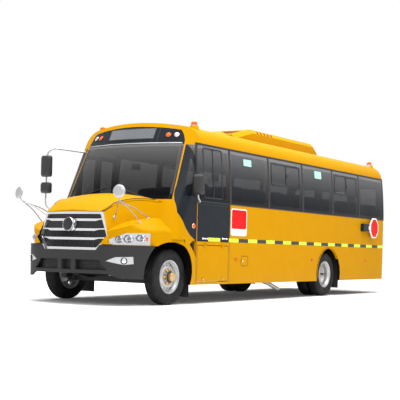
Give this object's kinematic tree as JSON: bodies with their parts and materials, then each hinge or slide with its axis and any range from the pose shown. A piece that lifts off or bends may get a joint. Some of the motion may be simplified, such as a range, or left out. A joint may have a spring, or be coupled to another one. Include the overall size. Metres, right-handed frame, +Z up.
{
  "type": "school bus",
  "caption": "Long-nosed yellow school bus with curved windscreen, folding entrance doors, opening hood, side stop sign, roof unit and steered front wheels.",
  "frame": {"origin": "on the ground, on the centre line, at the middle of the overall length", "axes": "+Z up, -Y the driving direction, +X the driver's side"},
  "size_m": [2.86, 9.4052, 3.05],
  "materials": {
    "body_paint": "school bus yellow gloss enamel",
    "dark_panel": "black gloss",
    "bumper_plastic": "dark grey textured plastic",
    "clear_glass": "tinted glass",
    "chrome_trim": "polished",
    "tyre_rubber": "black tyre rubber",
    "wheel_steel": "silver paint",
    "chassis_black": "satin black chassis paint",
    "cast_metal": "bare casting",
    "flap_rubber": "black rubber",
    "floor_board": "grey floor covering",
    "seat_vinyl": "dark blue-grey seat covering",
    "dash_plastic": "dark grain",
    "lamp_lens": "clear lens over bright reflector",
    "red_lens": "red lens",
    "amber_lens": "amber lens",
    "mirror_black": "black housings on grey tubes",
    "sign_red": "blank red reflective face",
    "exhaust_steel": "dull steel",
    "tank_aluminium": "brushed"
  },
  "bodies": {
    "bus": {"chassis_frame": "chassis_black", "cross_members": "chassis_black", "front_axle": "chassis_black", "rear_axle": "chassis_black", "driveline": "cast_metal", "tank_and_batteries": "tank_aluminium", "exhaust": "exhaust_steel", "floor_pan": "floor_board", "entrance_steps": "floor_board", "mud_flaps": "flap_rubber", "side_panel_left": "body_paint", "side_panel_right": "body_paint", "roof": "body_paint", "rear_wall": "body_paint", "cab_pillars": "body_paint", "quarter_panels": "dark_panel", "windscreen": "clear_glass", "visor_panel": "dark_panel", "side_and_rear_windows": "clear_glass", "nose_shell": "body_paint", "grille": "chrome_trim", "grille_mesh": "dark_panel", "front_bumper": "bumper_plastic", "front_lamps": "lamp_lens", "dashboard": "dash_plastic", "seats": "seat_vinyl", "stop_arm_bracket": "dark_panel", "roof_ac_unit": "body_paint", "roof_beacons": "amber_lens", "mirrors": "mirror_black", "rear_bumper": "bumper_plastic", "rear_lamps": "red_lens", "wipers": "dark_panel"},
    "steer_left": {"front_left_knuckle": "cast_metal"},
    "steer_right": {"front_right_knuckle": "cast_metal"},
    "front_left_wheel": {"front_left_tyre": "tyre_rubber", "front_left_rim": "wheel_steel"},
    "front_right_wheel": {"front_right_tyre": "tyre_rubber", "front_right_rim": "wheel_steel"},
    "rear_left_wheels": {"rear_left_tyres": "tyre_rubber", "rear_left_rims": "wheel_steel"},
    "rear_right_wheels": {"rear_right_tyres": "tyre_rubber", "rear_right_rims": "wheel_steel"},
    "hood_lid": {"hood": "body_paint"},
    "front_leaf": {"entrance_door_front": "body_paint", "entrance_glass_front": "clear_glass"},
    "rear_leaf": {"entrance_door_rear": "body_paint", "entrance_glass_rear": "clear_glass"},
    "locker_hatch": {"side_hatch": "body_paint"},
    "filler_flap": {"fuel_flap": "body_paint"},
    "stop_arm": {"stop_sign": "sign_red"},
    "rear_exit": {"rear_exit_door": "body_paint", "rear_exit_glass": "clear_glass"}
  },
  "joints": [
    {"name": "left_steering", "type": "hinge", "parent": "bus", "child": "steer_left", "pos_m": [0.82, -3.49, 0.428], "axis": [0, 0, 1], "range_deg": [-35, 35]},
    {"name": "right_steering", "type": "hinge", "parent": "bus", "child": "steer_right", "pos_m": [-0.82, -3.49, 0.428], "axis": [0, 0, 1], "range_deg": [-35, 35]},
    {"name": "front_left_wheel_spin", "type": "hinge", "parent": "steer_left", "child": "front_left_wheel", "pos_m": [0.985, -3.49, 0.428], "axis": [1, 0, 0], "continuous": true},
    {"name": "front_right_wheel_spin", "type": "hinge", "parent": "steer_right", "child": "front_right_wheel", "pos_m": [-0.985, -3.49, 0.428], "axis": [1, 0, 0], "continuous": true},
    {"name": "rear_left_wheels_spin", "type": "hinge", "parent": "bus", "child": "rear_left_wheels", "pos_m": [0.925, 1.81, 0.428], "axis": [1, 0, 0], "continuous": true},
    {"name": "rear_right_wheels_spin", "type": "hinge", "parent": "bus", "child": "rear_right_wheels", "pos_m": [-0.925, 1.81, 0.428], "axis": [1, 0, 0], "continuous": true},
    {"name": "hood_hinge", "type": "hinge", "parent": "bus", "child": "hood_lid", "pos_m": [0, -3.585, 1.59], "axis": [-1, 0, 0], "range_deg": [0, 40]},
    {"name": "front_leaf_hinge", "type": "hinge", "parent": "bus", "child": "front_leaf", "pos_m": [-1.234, -2.997, 1.4], "axis": [0, 0, 1], "range_deg": [0, 88]},
    {"name": "rear_leaf_hinge", "type": "hinge", "parent": "bus", "child": "rear_leaf", "pos_m": [-1.234, -2.023, 1.4], "axis": [0, 0, -1], "range_deg": [0, 88]},
    {"name": "locker_hatch_hinge", "type": "hinge", "parent": "bus", "child": "locker_hatch", "pos_m": [1.234, -2.48, 0.9225], "axis": [0, -1, 0], "range_deg": [0, 80]},
    {"name": "filler_flap_hinge", "type": "hinge", "parent": "bus", "child": "filler_flap", "pos_m": [1.234, -1.6075, 0.6825], "axis": [0, 0, -1], "range_deg": [0, 100]},
    {"name": "stop_arm_hinge", "type": "hinge", "parent": "bus", "child": "stop_arm", "pos_m": [1.287, 3.64, 1.412], "axis": [0, 0, -1], "range_deg": [0, 90]},
    {"name": "rear_exit_hinge", "type": "hinge", "parent": "bus", "child": "rear_exit", "pos_m": [-0.4175, 4.669, 1.67], "axis": [0, 0, 1], "range_deg": [0, 100]}
  ],
  "couplings": [
    {"joint": "right_steering", "follows": "left_steering", "ratio": 1},
    {"joint": "rear_leaf_hinge", "follows": "front_leaf_hinge", "ratio": 1}
  ]
}
